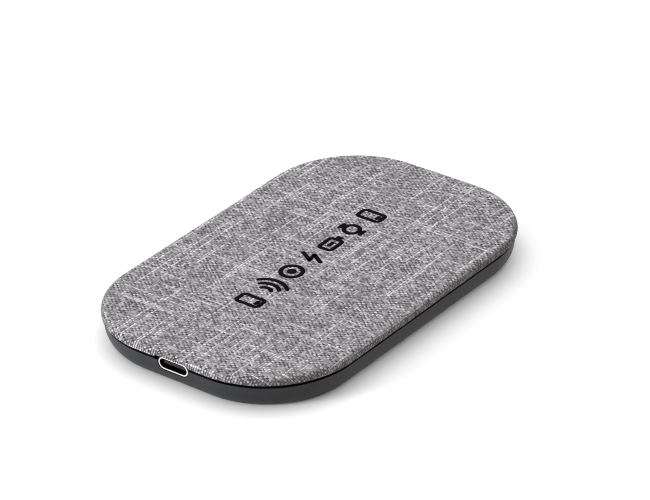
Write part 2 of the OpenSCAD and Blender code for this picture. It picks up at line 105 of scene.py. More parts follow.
def makeStudio(values):
    world = bpy.data.worlds.new("studio")
    world.use_nodes = True
    background = world.node_tree.nodes["Background"]
    background.inputs["Color"].default_value = (1, 1, 1, 1)
    background.inputs["Strength"].default_value = values["world"]
    scene.world = world
    areaLight("keyLight", values["keyPlace"], values["keySize"], values["keyPower"])
    areaLight("fillLight", values["fillPlace"], values["fillSize"], values["fillPower"])

    half = values["floorSize"] / 2
    corners = [(-half, -half, 0), (half, -half, 0), (half, half, 0), (-half, half, 0)]
    mesh = bpy.data.meshes.new("floor")
    mesh.from_pydata(corners, [], [(0, 1, 2, 3)])
    floor = bpy.data.objects.new("floor", mesh)
    scene.collection.objects.link(floor)
    material = bpy.data.materials.new("floorPaper")
    material.use_nodes = True
    shader = material.node_tree.nodes["Principled BSDF"]
    shader.inputs["Base Color"].default_value = (values["floorTone"],) * 3 + (1,)
    shader.inputs["Roughness"].default_value = values["floorRoughness"]
    shader.inputs["Specular IOR Level"].default_value = 0.0
    mesh.materials.append(material)


makeStudio(studio)
scene.view_settings.view_transform = "Standard"
scene.cycles.filter_width = 1.1
print("camera and studio ready")


def linked(tree, kind, settings=None, **inputs):
    # Adds a node. Inputs are numbers, tuples or sockets, named with _ for a space, or i and an index.
    node = tree.nodes.new(kind)
    for key, value in (settings or {}).items():
        setattr(node, key, value)
    for key, value in inputs.items():
        name = int(key[1:]) if key[0] == "i" and key[1:].isdigit() else key.replace("_", " ")
        if isinstance(value, bpy.types.NodeSocket):
            tree.links.new(value, node.inputs[name])
        else:
            node.inputs[name].default_value = value
    return node


def calc(tree, operation, a, b=0.0, c=0.0, clamp=False):
    # One Math node; returns its value socket.
    settings = {"operation": operation, "use_clamp": clamp}
    return linked(tree, "ShaderNodeMath", settings, i0=a, i1=b, i2=c).outputs[0]


def vectorCalc(tree, operation, a, b=(0.0, 0.0, 0.0)):
    # One Vector Math node; returns its vector socket.
    return linked(tree, "ShaderNodeVectorMath", {"operation": operation}, i0=a, i1=b).outputs[0]


def length(tree, vector):
    return linked(tree, "ShaderNodeVectorMath", {"operation": "LENGTH"}, i0=vector).outputs[1]


def between(tree, share, first, second):
    # Mixes two numbers by a share; returns the value socket.
    return linked(tree, "ShaderNodeMix", i0=share, i2=first, i3=second).outputs[0]


def ramp(tree, value, lowEnd, highEnd, lowOut=0.0, highOut=1.0):
    # A smooth step of value between two ends; returns its socket.
    settings = {"interpolation_type": "SMOOTHSTEP"}
    inputs = {"Value": value, "From_Min": lowEnd, "From_Max": highEnd, "To_Min": lowOut, "To_Max": highOut}
    return linked(tree, "ShaderNodeMapRange", settings, **inputs).outputs[0]


def blendTones(tree, share, first, second):
    # Mixes two colours by a share; returns the colour socket.
    node = tree.nodes.new("ShaderNodeMix")
    node.data_type = "RGBA"
    for index, value in ((0, share), (6, first), (7, second)):
        if isinstance(value, bpy.types.NodeSocket):
            tree.links.new(value, node.inputs[index])
        else:
            node.inputs[index].default_value = value if index == 0 else (*value, 1)
    return node.outputs[2]


def together(tree, x, y, z=0.0):
    return linked(tree, "ShaderNodeCombineXYZ", X=x, Y=y, Z=z).outputs[0]


def noise(tree, vector, scale, detail=2.0, roughness=0.5, flat=True):
    # A noise texture's value, about 0.5 on average.
    settings = {"noise_dimensions": "2D" if flat else "3D"}
    inputs = {"Vector": vector, "Scale": scale, "Detail": detail, "Roughness": roughness}
    return linked(tree, "ShaderNodeTexNoise", settings, **inputs).outputs[0]


def squareRandom(tree, vector):
    # A random number for each place with whole numbers in X and Y.
    return linked(tree, "ShaderNodeTexWhiteNoise", {"noise_dimensions": "2D"}, Vector=vector).outputs[0]


def newGroup(name, inputs, outputs):
    # A shader node group with named sockets; returns it with its two end nodes.
    tree = bpy.data.node_groups.new(name, "ShaderNodeTree")
    for label, kind, value in inputs:
        socket = tree.interface.new_socket(label, in_out="INPUT", socket_type="NodeSocket" + kind)
        if value is not None:
            socket.default_value = value
    for label, kind in outputs:
        tree.interface.new_socket(label, in_out="OUTPUT", socket_type="NodeSocket" + kind)
    return tree, tree.nodes.new("NodeGroupInput"), tree.nodes.new("NodeGroupOutput")


def placeGroup(tree, group, **inputs):
    return linked(tree, "ShaderNodeGroup", {"node_tree": group}, **inputs)


def newMaterial(name, **sockets):
    # A material with constants set on its Principled shader; returns material, tree, shader.
    material = bpy.data.materials.new(name)
    material.use_nodes = True
    tree = material.node_tree
    shader = tree.nodes["Principled BSDF"]
    for key, value in sockets.items():
        shader.inputs[key.replace("_", " ")].default_value = value
    return material, tree, shader


def millimetres(tree):
    # Object coordinates in millimetres.
    place = tree.nodes.new("ShaderNodeTexCoord").outputs["Object"]
    return linked(tree, "ShaderNodeMapping", Vector=place, Scale=(1000, 1000, 1000)).outputs[0]


def addBump(tree, shader, height, distance, strength=1.0):
    bump = linked(tree, "ShaderNodeBump", Height=height, Distance=distance, Strength=strength)
    tree.links.new(bump.outputs[0], shader.inputs["Normal"])


# strayScale is that of the noise by which the threads wander; crownWidth narrows a thread's crown, and
# dip is how deep its ends dive. A thread's core is full up to coreFull pitches from its middle line and
# gone at coreEdge.
weaveShape = {
    "strayScale": 0.45, "strayShift": 31.7, "crownWidth": 1.9, "dip": 0.6, "coreEdge": 0.42, "coreFull": 0.2,
}


def makeWeaveGroup(shape):
    # Plain weave on a flat cut: warp n lies at x = n * warpPitch, weft m at y = m * weftPitch, and the
    # one on top changes at every crossing. Height is a round crown across the top thread that dips
    # at both ends, where the thread dives under its neighbour.
    tree, start, end = newGroup(
        "plainWeave",
        [("Cut", "Vector", None), ("Warp Pitch", "Float", 0.7), ("Weft Pitch", "Float", 0.54),
         ("Wander", "Float", 0.3)],
        [("Height", "Float"), ("Warp On Top", "Float"), ("Warp Number", "Float"), ("Weft Number", "Float"),
         ("Stitch", "Float"), ("Warp Core", "Float"), ("Weft Core", "Float")],
    )
    cut = linked(tree, "ShaderNodeSeparateXYZ", Vector=start.outputs["Cut"])
    strayed = []
    for axis, shift, pitch in (("X", 0.0, "Warp Pitch"), ("Y", shape["strayShift"], "Weft Pitch")):
        moved = vectorCalc(tree, "ADD", start.outputs["Cut"], (shift, shift, 0))
        stray = calc(tree, "SUBTRACT", noise(tree, moved, shape["strayScale"], 2.0), 0.5)
        stray = calc(tree, "MULTIPLY", stray, start.outputs["Wander"])
        inPitches = calc(tree, "DIVIDE", cut.outputs[axis], start.outputs[pitch])
        strayed.append(calc(tree, "ADD", inPitches, stray))
    numbers = [calc(tree, "FLOOR", value) for value in strayed]
    parts = [calc(tree, "SUBTRACT", calc(tree, "FRACT", value), 0.5) for value in strayed]
    parity = calc(tree, "FLOORED_MODULO", calc(tree, "ADD", *numbers), 2.0)
    warpOnTop = calc(tree, "SUBTRACT", 1.0, parity)
    across = between(tree, parity, parts[0], parts[1])
    along = between(tree, parity, parts[1], parts[0])
    spread = calc(tree, "MULTIPLY", across, shape["crownWidth"])
    squared = calc(tree, "POWER", calc(tree, "ABSOLUTE", spread), 2.0)
    crown = calc(tree, "SQRT", calc(tree, "MAXIMUM", calc(tree, "SUBTRACT", 1.0, squared), 0.0))
    dive = calc(tree, "COSINE", calc(tree, "MULTIPLY", along, math.pi))
    height = calc(tree, "MULTIPLY", crown, calc(tree, "MULTIPLY_ADD", dive, shape["dip"], 1 - shape["dip"]))
    stitch = squareRandom(tree, together(tree, *numbers))
    cores = [ramp(tree, calc(tree, "ABSOLUTE", part), shape["coreEdge"], shape["coreFull"]) for part in parts]
    for index, value in enumerate((height, warpOnTop, *numbers, stitch, *cores)):
        tree.links.new(value, end.inputs[index])
    return tree


# Steps of the noise per mm along the yarn (slow, quick) and per thread across it (threadStep, band);
# fleckShift keeps the flecks' noise away from the slubs'
yarnShape = {
    "threadStep": 7.31, "slow": 0.03, "band": 0.21, "quick": 1.5, "fleckShift": 50.0,
    "slubStart": 0.62, "slubFull": 0.67,
}


def makeYarnGroup(shape):
    # Tone of one yarn: its own shade, slow bands over neighbouring threads, long pale slubs and
    # the short dark and light flecks of mixed fibres, all from its number and the way along it.
    tree, start, end = newGroup(
        "melangeYarn",
        [("Number", "Float", 0.0), ("Along", "Float", 0.0), ("Seed", "Float", 0.0), ("Base", "Float", 0.5),
         ("Shade", "Float", 0.1), ("Band", "Float", 0.1), ("Fleck", "Float", 0.3)],
        [("Tone", "Float"), ("Slub", "Float")],
    )
    seeded = calc(tree, "ADD", start.outputs["Number"], start.outputs["Seed"])
    own = linked(tree, "ShaderNodeTexWhiteNoise", {"noise_dimensions": "1D"}, W=seeded).outputs[0]
    own = calc(tree, "SUBTRACT", own, 0.5)
    far = calc(tree, "MULTIPLY", seeded, shape["threadStep"])
    slow = calc(tree, "MULTIPLY", start.outputs["Along"], shape["slow"])
    bandPlace = together(tree, calc(tree, "MULTIPLY", seeded, shape["band"]), slow)
    band = calc(tree, "SUBTRACT", noise(tree, bandPlace, 1.0, 2.0), 0.5)
    slubNoise = noise(tree, together(tree, far, slow), 1.0, 1.0)
    slub = ramp(tree, slubNoise, shape["slubStart"], shape["slubFull"])
    quick = calc(tree, "MULTIPLY", start.outputs["Along"], shape["quick"])
    fleckPlace = together(tree, calc(tree, "ADD", far, shape["fleckShift"]), quick)
    fleck = calc(tree, "SUBTRACT", noise(tree, fleckPlace, 1.0, 3.0, 0.65), 0.5)
    tone = start.outputs["Base"]
    for value, share in ((own, "Shade"), (band, "Band"), (fleck, "Fleck")):
        tone = calc(tree, "MULTIPLY_ADD", value, start.outputs[share], tone)
    tree.links.new(tone, end.inputs["Tone"])
    tree.links.new(slub, end.inputs["Slub"])
    return tree


def makeGrainGroup():
    # Spark-eroded mould texture: fine noise for the relief, and a slower one for uneven gloss.
    tree, start, end = newGroup(
        "mouldGrain",
        [("Place", "Vector", None), ("Grain Size", "Float", 0.12), ("Gloss", "Float", 0.5),
         ("Unevenness", "Float", 0.1)],
        [("Height", "Float"), ("Roughness", "Float"), ("Patches", "Float")],
    )
    density = calc(tree, "DIVIDE", 1.0, start.outputs["Grain Size"])
    fine = noise(tree, start.outputs["Place"], density, 2.0, flat=False)
    slow = noise(tree, start.outputs["Place"], 0.18, 3.0, flat=False)
    uneven = calc(tree, "MULTIPLY", calc(tree, "SUBTRACT", slow, 0.5), start.outputs["Unevenness"])
    rough = calc(tree, "ADD", start.outputs["Gloss"], uneven)
    rough = calc(tree, "MULTIPLY_ADD", calc(tree, "SUBTRACT", fine, 0.5), 0.12, rough)
    for socket, value in (("Height", fine), ("Roughness", rough), ("Patches", slow)):
        tree.links.new(value, end.inputs[socket])
    return tree


def makeBrushGroup():
    # Fine lines along Y left by drawing or rolling sheet metal, with a few smudges.
    tree, start, end = newGroup(
        "drawnLines",
        [("Place", "Vector", None), ("Line Width", "Float", 0.05), ("Gloss", "Float", 0.25)],
        [("Height", "Float"), ("Roughness", "Float")],
    )
    density = calc(tree, "DIVIDE", 1.0, start.outputs["Line Width"])
    drawnOut = (1.0, 0.06, 1.0)
    stretched = linked(tree, "ShaderNodeMapping", Vector=start.outputs["Place"], Scale=drawnOut).outputs[0]
    lines = noise(tree, stretched, density, 2.0, flat=False)
    smudge = noise(tree, start.outputs["Place"], 0.8, 2.0, flat=False)
    rough = calc(tree, "MULTIPLY_ADD", calc(tree, "SUBTRACT", lines, 0.5), 0.25, start.outputs["Gloss"])
    rough = calc(tree, "MULTIPLY_ADD", calc(tree, "SUBTRACT", smudge, 0.5), 0.2, rough)
    tree.links.new(lines, end.inputs["Height"])
    tree.links.new(rough, end.inputs["Roughness"])
    return tree


weaveGroup, yarnGroup = makeWeaveGroup(weaveShape), makeYarnGroup(yarnShape)
grainGroup, brushGroup = makeGrainGroup(), makeBrushGroup()
print("shared effects ready")

# Radii and hem as the cover's profile has them; the outline's size comes from the CAD box. A ridge is
# the height of a thread on the side: it is full after ridgeFull edge radii of way round the edge, and
# hemRidge of that where the hem begins. Steps count the points of each stretch of the profile.
cover = {
    "cornerRadius": 24.5 * mm, "edgeRadius": 1.6 * mm, "foldRadius": 0.3 * mm, "thickness": 0.4 * mm,
    "hem": 2.5 * mm, "columns": 2200, "topRings": 5, "edgeSteps": 12, "foldSteps": 6, "hemSteps": 3,
    "ridge": 0.09 * mm, "ridgeFull": 0.7, "hemRidge": 0.6,
    "socketGap": 0.4 * mm, "socketSlope": 1.2 * mm,
}
weave = {"warpPitch": 0.70, "weftPitch": 0.54, "wander": 0.9, "relief": 0.00016}
coverLow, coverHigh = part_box("fabric_cover")


def outline(values, corner, count):
    # The middle line of a rounded rectangle by distance along it: straight, quarter circle, straight...
    # Returns points inset by one edge radius, and the outward direction at each.
    halfX, halfY = corner.x - values["cornerRadius"], corner.y - values["cornerRadius"]
    radius = values["cornerRadius"] - values["edgeRadius"]
    arc = radius * math.pi / 2
    lengths = np.array([2 * halfY, arc, 2 * halfX, arc] * 2)
    ends = np.concatenate([[0], np.cumsum(lengths)])
    way = np.linspace(0, ends[-1], count, endpoint=False)
    piece = np.searchsorted(ends, way, side="right") - 1
    share = (way - ends[piece]) / lengths[piece]
    turn = (piece // 2 + np.where(piece % 2 == 1, share, 0)) * math.pi / 2
    direction = np.stack([np.cos(turn), np.sin(turn)], 1)
    centresX = np.array([halfX, halfX, halfX, -halfX, -halfX, -halfX, -halfX, halfX])
    centresY = np.array([-halfY, halfY, halfY, halfY, halfY, -halfY, -halfY, -halfY])
    centre = np.stack([centresX[piece], centresY[piece]], 1)
    straightX = np.array([0, 0, -1, 0, 0, 0, 1, 0])[piece] * share * 2 * halfX
    straightY = np.array([1, 0, 0, 0, -1, 0, 0, 0])[piece] * share * 2 * halfY
    return centre + direction * radius + np.stack([straightX, straightY], 1), direction


def gridFaces(rows, columns):
    # Quads of a grid that closes on itself round its columns
    row, column = np.meshgrid(np.arange(rows - 1), np.arange(columns), indexing="ij")
    nextColumn = (column + 1) % columns
    first, second = row * columns, (row + 1) * columns
    quads = [first + column, first + nextColumn, second + nextColumn, second + column]
    return np.stack(quads, -1).reshape(-1, 4)


def meshObject(name, points, quads, triangles, cut=None):
    # A smooth-shaded mesh object from whole arrays, with a UV map of the cut's millimetres.
    mesh = bpy.data.meshes.new(name)
    sizes = np.concatenate([np.full(len(quads), 4), np.full(len(triangles), 3)])
    corners = np.concatenate([quads.ravel(), triangles.ravel()]).astype(np.int32)
    mesh.vertices.add(len(points))
    mesh.vertices.foreach_set("co", points.astype(np.float32).ravel())
    mesh.loops.add(len(corners))
    mesh.loops.foreach_set("vertex_index", corners)
    mesh.polygons.add(len(sizes))
    starts = np.concatenate([[0], np.cumsum(sizes)[:-1]])
    mesh.polygons.foreach_set("loop_start", starts.astype(np.int32))
    mesh.polygons.foreach_set("use_smooth", np.ones(len(sizes), bool))
    if cut is not None:
        layer = mesh.uv_layers.new(name="cut")
        layer.data.foreach_set("uv", cut[corners].astype(np.float32).ravel())
    mesh.update(calc_edges=True)
    mesh.validate()
    piece = bpy.data.objects.new(name, mesh)
    scene.collection.objects.link(piece)
    return piece


def arcSteps(centre, radius, first, last, count):
    # Points of an arc as (outward, up) with the way travelled along it, angle 0 outwards and 90 up
    angle = np.radians(np.linspace(first, last, count))
    points = np.stack([centre[0] + radius * np.cos(angle), centre[1] + radius * np.sin(angle)], 1)
    return points, np.abs(angle - angle[0]) * radius


def makeCover(values):
    # The profile runs from the middle of the top, round the edge and the fold, along the hem and
    # back inside to the middle. It is carried round the outline; each point's place on the flat cut
    # is its outline point plus the way travelled past the edge, so the threads follow the wrap.
    base, direction = outline(values, coverHigh, values["columns"])
    columns = values["columns"]
    big, small, thick = values["edgeRadius"], values["foldRadius"], values["thickness"]
    level = coverHigh.z - big
    hemReach = big - values["hem"]
    roundEdge, wayEdge = arcSteps((0, level), big, 90, 0, values["edgeSteps"])
    roundFold, wayFold = arcSteps((big - small, level), small, 0, -90, values["foldSteps"])
    hemTop = coverLow.z + thick
    hemOut = np.linspace((big - small, coverLow.z), (hemReach, coverLow.z), values["hemSteps"] + 1)[1:]
    hemBack = np.array([[hemReach, hemTop]])
    innerRise = math.degrees(math.asin((hemTop - level) / (big - thick)))
    innerEdge = arcSteps((0, level), big - thick, innerRise, 90, values["foldSteps"])[0]
    profile = np.concatenate([roundEdge, roundFold[1:], hemOut, hemBack, innerEdge])
    foldWay = wayEdge[-1] + wayFold[1:]
    hemWay = foldWay[-1] + (big - small - hemOut[:, 0])
    innerWay = np.linspace(foldWay[-1], 0, len(innerEdge))
    way = np.concatenate([wayEdge, foldWay, hemWay, hemWay[-1:], innerWay])
    rim = base[None] + direction[None] * profile[:, :1, None]
    rimHeight = np.broadcast_to(profile[:, 1, None], rim.shape[:2])
    rimCut = base[None] + direction[None] * way[:, None, None]

    # the hem and the lower edge are drawn up where the socket's shell passes under them
    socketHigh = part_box("usb_shell")[1]
    nearness = (socketHigh.x + values["socketSlope"] - np.abs(base[:, 0])) / values["socketSlope"]
    nearness = np.clip(nearness, 0, 1) * (base[:, 1] < 0)
    lift = (socketHigh.z + values["socketGap"] - coverLow.z) * nearness ** 2 * (3 - 2 * nearness)
    still = coverHigh.z - thick
    rimHeight = rimHeight + lift * np.clip((still - rimHeight) / (still - coverLow.z), 0, 1)

    # ridges of the threads that run over the edge, strongest on the upright part and the fold
    wefts = np.cos(2 * math.pi * rimCut[..., 1] / (weave["weftPitch"] * mm))
    warps = np.cos(2 * math.pi * rimCut[..., 0] / (weave["warpPitch"] * mm))
    crossing = wefts * direction[:, 0] ** 2 + warps * direction[:, 1] ** 2
    strength = np.zeros(len(profile))
    outside = len(roundEdge) + len(roundFold) - 1
    strength[:outside] = np.clip(way[:outside] / (values["ridgeFull"] * big), 0, 1) ** 2
    strength[outside] = values["hemRidge"]
    ridge = values["ridge"] * crossing * strength[:, None]
    lean = np.zeros((len(profile), 2))
    lean[:len(roundEdge)] = (roundEdge - [0, level]) / big
    lean[len(roundEdge):outside] = (roundFold[1:] - [big - small, level]) / small
    lean[outside] = (0, -1)
    rim = rim + direction[None] * (ridge * lean[:, :1])[..., None]
    rimHeight = rimHeight + ridge * lean[:, 1:]

    shares = np.linspace(0, 1, values["topRings"] + 1)[1:-1]
    top = base[None] * shares[:, None, None]
    inside = base[None] * shares[::-1, None, None]
    plane = np.concatenate([top, rim, inside]).reshape(-1, 2)
    topHeight = np.full(top.shape[:2], coverHigh.z)
    insideHeight = np.full(inside.shape[:2], still)
    heights = np.concatenate([topHeight, rimHeight, insideHeight]).ravel()
    cut = np.concatenate([top, rimCut, inside]).reshape(-1, 2)
    rows = 2 * len(shares) + len(profile)
    points = np.concatenate([
        np.column_stack([plane, heights]), [[0, 0, coverHigh.z], [0, 0, still]]])
    cut = np.concatenate([cut, [[0, 0], [0, 0]]]) / mm
    ring = np.arange(columns)
    after = (ring + 1) % columns
    last = (rows - 1) * columns
    firstPole, lastPole = rows * columns, rows * columns + 1
    triangles = np.concatenate([
        np.stack([np.full(columns, firstPole), ring, after], 1),
        np.stack([np.full(columns, lastPole), last + after, last + ring], 1)])
    quads = gridFaces(rows, columns)[:, ::-1]
    return meshObject("woven_cover", points, quads, triangles, cut)


# Colours and shares of tone; seeds pick the yarns' noise. The gap colour is painted shade, laid in the low
# parts between the threads and, at the valley share, in the side's valleys. The last row is in mm: the side's
# tones set in sideTop below the cover's top and are full sideFull above its lowest edge, and the painted
# brownish shade of the side facing +X goes from sideShadeStart beyond the middle to sideShadeEnd before the
# edge.
clothTones = {
    "pale": (0.66, 0.645, 0.67), "dark": (0.045, 0.041, 0.045), "gap": (0.012, 0.011, 0.012),
    "warm": (0.2, 0.155, 0.165), "warmShare": 0.16,
    "warpBase": 0.45, "weftBase": 0.17, "shade": 0.11, "band": 0.25, "fleck": 0.5, "stitch": 0.52,
    "slub": 0.38, "slubUnder": 0.75, "sideShade": (0.1, 0.078, 0.065), "sideShadeShare": 0.6, "valleyShade": 0.75,
    "warpSeed": 11.0, "weftSeed": 240.0, "warmScale": 0.07,
    "sideTop": 0.05, "sideFull": 1.2, "sideShadeStart": 5.0, "sideShadeEnd": 5.0,
}


def makeClothMaterial(values, threads):
    material, tree, shader = newMaterial(
        "melangeCloth", Roughness=0.88, Specular_IOR_Level=0.15, Sheen_Weight=0.1, Sheen_Roughness=0.5)
    cut = linked(tree, "ShaderNodeUVMap", {"uv_map": "cut"}).outputs[0]
    woven = placeGroup(tree, weaveGroup, Cut=cut, Warp_Pitch=threads["warpPitch"],
                       Weft_Pitch=threads["weftPitch"], Wander=threads["wander"]).outputs
    way = linked(tree, "ShaderNodeSeparateXYZ", Vector=cut)
    tones, slubs = [], []
    for name, along in (("Warp", "Y"), ("Weft", "X")):
        yarn = placeGroup(
            tree, yarnGroup, Number=woven[name + " Number"], Along=way.outputs[along],
            Seed=values[name.lower() + "Seed"], Base=values[name.lower() + "Base"],
            Shade=values["shade"], Band=values["band"], Fleck=values["fleck"])
        tones.append(yarn.outputs["Tone"])
        slubs.append(calc(tree, "MULTIPLY", yarn.outputs["Slub"], woven[name + " Core"]))
    tone = between(tree, woven["Warp On Top"], tones[1], tones[0])
    slubOnTop = between(tree, woven["Warp On Top"], slubs[1], slubs[0])
    slubBelow = between(tree, woven["Warp On Top"], slubs[0], slubs[1])
    slub = calc(tree, "MAXIMUM", slubOnTop, calc(tree, "MULTIPLY", slubBelow, values["slubUnder"]))
    tone = calc(tree, "MULTIPLY_ADD", slub, values["slub"], tone)
    stitch = calc(tree, "SUBTRACT", calc(tree, "POWER", woven["Stitch"], 2.0), 0.33)
    tone = calc(tree, "MULTIPLY_ADD", stitch, values["stitch"], tone, clamp=True)
    yarnColour = blendTones(tree, tone, values["dark"], values["pale"])
    patches = ramp(tree, noise(tree, cut, values["warmScale"], 3.0), 0.5, 0.75, 0.0, values["warmShare"])
    yarnColour = blendTones(tree, patches, yarnColour, values["warm"])
    # Round the side, valleys part the threads that run over the edge: wefts where it faces X, warps
    # where it faces Y; painted shade darkens them. Towards +X the side gets a painted brownish shade.
    place = linked(tree, "ShaderNodeSeparateXYZ", Vector=millimetres(tree)).outputs
    squares = []
    for axis, half in (("X", coverHigh.x), ("Y", coverHigh.y)):
        straight = (half - cover["cornerRadius"]) / mm
        pastBend = calc(tree, "SUBTRACT", calc(tree, "ABSOLUTE", place[axis]), straight)
        squares.append(calc(tree, "POWER", calc(tree, "MAXIMUM", pastBend, 0.0), 2.0))
    facingX = calc(tree, "DIVIDE", squares[0], calc(tree, "ADD", squares[0], squares[1]))
    sideStart, sideEnd = coverHigh.z / mm - values["sideTop"], coverLow.z / mm + values["sideFull"]
    side = ramp(tree, place["Z"], sideStart, sideEnd)
    core = between(tree, facingX, woven["Warp Core"], woven["Weft Core"])
    valleyShadeShare = calc(tree, "MULTIPLY", side, values["valleyShade"])
    valleyShade = calc(tree, "MULTIPLY", calc(tree, "SUBTRACT", 1.0, core), valleyShadeShare)
    sideShadeFullX = coverHigh.x / mm - values["sideShadeEnd"]
    sideShade = ramp(tree, place["X"], values["sideShadeStart"], sideShadeFullX, 0.0, values["sideShadeShare"])
    sideShade = calc(tree, "MULTIPLY", side, sideShade)
    yarnColour = blendTones(tree, sideShade, yarnColour, values["sideShade"])
    yarnColour = blendTones(tree, valleyShade, yarnColour, values["gap"])
    # painted shade: the low parts between the threads are darkened towards a near-black shade colour
    shadowed = ramp(tree, woven["Height"], 0.0, 0.7, 0.4, 1.0)
    tree.links.new(blendTones(tree, shadowed, values["gap"], yarnColour), shader.inputs["Base Color"])
    addBump(tree, shader, woven["Height"], threads["relief"])
    return material


clothMaterial = makeClothMaterial(clothTones, weave)
wovenCover = makeCover(cover)
wovenCover.data.materials.append(clothMaterial)
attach(wovenCover, "root")
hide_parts("fabric_cover")
# the flat cut is the outline less one edge radius, plus the way round the edge and the fold, plus the hem
print("cloth cover ready:", len(wovenCover.data.polygons), "faces")

# Simple signs in a row along Y on the cloth, read from the +X side: strokes as ribbons of ink.
# A sign is a list of strokes in its own square, 0 to 1 both ways, drawn with lines and arcs.
mark = {
    "start": -27.2 * mm, "pitch": 8.35 * mm, "size": 6.6 * mm, "middle": -1.0 * mm, "stroke": 1.2 * mm,
    "low": 0.005 * mm, "high": 0.03 * mm, "turn": 1.0,
    "row": ["phone", "waves", "coil", "bolt", "battery", "watch", "phone"],
}


def bow(centreX, centreY, radius, first, last, count=25):
    # An arc from one angle to the other, in degrees
    angle = np.radians(np.linspace(first, last, count))
    return np.stack([centreX + radius * np.cos(angle), centreY + radius * np.sin(angle)], 1)


def roundedLoop(left, low, right, high, radius):
    # A rectangle with round corners, as a stroke that ends where it starts
    corners = [(right, high, 0), (left, high, 90), (left, low, 180), (right, low, 270)]
    inward = {0: (-1, -1), 90: (1, -1), 180: (1, 1), 270: (-1, 1)}
    parts = []
    for x, y, angle in corners:
        centreX, centreY = x + inward[angle][0] * radius, y + inward[angle][1] * radius
        parts.append(bow(centreX, centreY, radius, angle, angle + 90, 7))
    return np.concatenate([*parts, parts[0][:1]])


signs = {
    "phone": [roundedLoop(0.22, 0.0, 0.78, 1.0, 0.14), np.array([(0.42, 0.19), (0.58, 0.19)])],
    "waves": [bow(0.0, 0.5, radius, -48, 48) for radius in (0.3, 0.6, 0.9)],
    "coil": [bow(0.5, 0.5, 0.42, 90, 450, 49), bow(0.5, 0.5, 0.1, 90, 450, 25)],
    "bolt": [np.array([(0.6, 0.98), (0.28, 0.46)]), np.array([(0.28, 0.46), (0.7, 0.54)]),
             np.array([(0.7, 0.54), (0.38, 0.02)])],
    "battery": [roundedLoop(0.0, 0.22, 0.82, 0.78, 0.12), np.array([(1.0, 0.43), (1.0, 0.57)]),
                np.array([(0.3, 0.5), (0.52, 0.5)])],
    "watch": [bow(0.5, 0.5, 0.31, 90, 450, 37), np.array([(0.36, 0.98), (0.64, 0.98)]),
              np.array([(0.36, 0.02), (0.64, 0.02)])],
}


def ribbon(path, values):
    # A flat strip along a path: each ring is a rectangle across it, and the rings at both ends
    # narrow as a circle does, so that the ends are round
    half = values["stroke"] / 2
    ahead = np.gradient(path, axis=0)
    if np.allclose(path[0], path[-1]):
        ahead[0] = ahead[-1] = path[1] - path[-2]
        width = np.ones(len(path))
    else:
        share = np.array([0.97, 0.85, 0.6, 0.3])
        first, last = ahead[0] / np.linalg.norm(ahead[0]), ahead[-1] / np.linalg.norm(ahead[-1])
        narrow = np.sqrt(1 - share ** 2)
        width = np.concatenate([narrow, np.ones(len(path)), narrow[::-1]])
        before = path[:1] - first * half * share[:, None]
        beyond = path[-1:] + last * half * share[::-1, None]
        path = np.concatenate([before, path, beyond])
        ahead = np.concatenate([np.tile(first, (len(share), 1)), ahead, np.tile(last, (len(share), 1))])
    ahead = ahead / np.linalg.norm(ahead, axis=1)[:, None]
    side = np.stack([-ahead[:, 1], ahead[:, 0]], 1) * (half * width)[:, None]
    left, right = path + side, path - side
    low, high = (np.full(len(path), coverHigh.z + values[level]) for level in ("low", "high"))
    rings = [np.column_stack([left, low]), np.column_stack([right, low]),
             np.column_stack([right, high]), np.column_stack([left, high])]
    return np.stack(rings, 1).reshape(-1, 3)


def makeMark(values):
    points, quads, count = [], [], 0
    turn = math.radians(values["turn"])
    for place, name in enumerate(values["row"]):
        for stroke in signs[name]:
            along = values["start"] + place * values["pitch"] + stroke[:, 0] * values["size"]
            across = values["middle"] - (stroke[:, 1] - 0.5) * values["size"]
            path = np.stack([across - along * math.sin(turn), along], 1)
            rings = ribbon(path, values)
            steps = len(rings) // 4
            walls = gridFaces(steps, 4)[:, ::-1]
            ends = np.array([[0, 1, 2, 3], len(rings) - np.arange(1, 5)])
            points.append(rings)
            quads.append(np.concatenate([walls, ends]) + count)
            count += len(rings)
    return meshObject("printed_mark", np.concatenate(points), np.concatenate(quads), np.zeros((0, 3), int))


inkTones = {"ink": (0.001, 0.001, 0.001), "worn": (0.006, 0.006, 0.006), "roughness": 0.9, "reliefShare": 0.4}


def makeInkMaterial(values, threads):
    # Ink sits on the crowns of the same threads, a little thinner where they rise
    material, tree, shader = newMaterial("markInk", Roughness=values["roughness"], Specular_IOR_Level=0.04)
    place = millimetres(tree)
    woven = placeGroup(tree, weaveGroup, Cut=place, Warp_Pitch=threads["warpPitch"],
                       Weft_Pitch=threads["weftPitch"], Wander=threads["wander"]).outputs
    worn = calc(tree, "MULTIPLY", woven["Height"], noise(tree, place, 2.2))
    tree.links.new(blendTones(tree, worn, values["ink"], values["worn"]), shader.inputs["Base Color"])
    addBump(tree, shader, woven["Height"], threads["relief"] * values["reliefShare"])
    return material


printedMark = makeMark(mark)
printedMark.data.materials.append(makeInkMaterial(inkTones, weave))
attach(printedMark, "root")
print("printed mark ready:", len(mark["row"]), "signs")

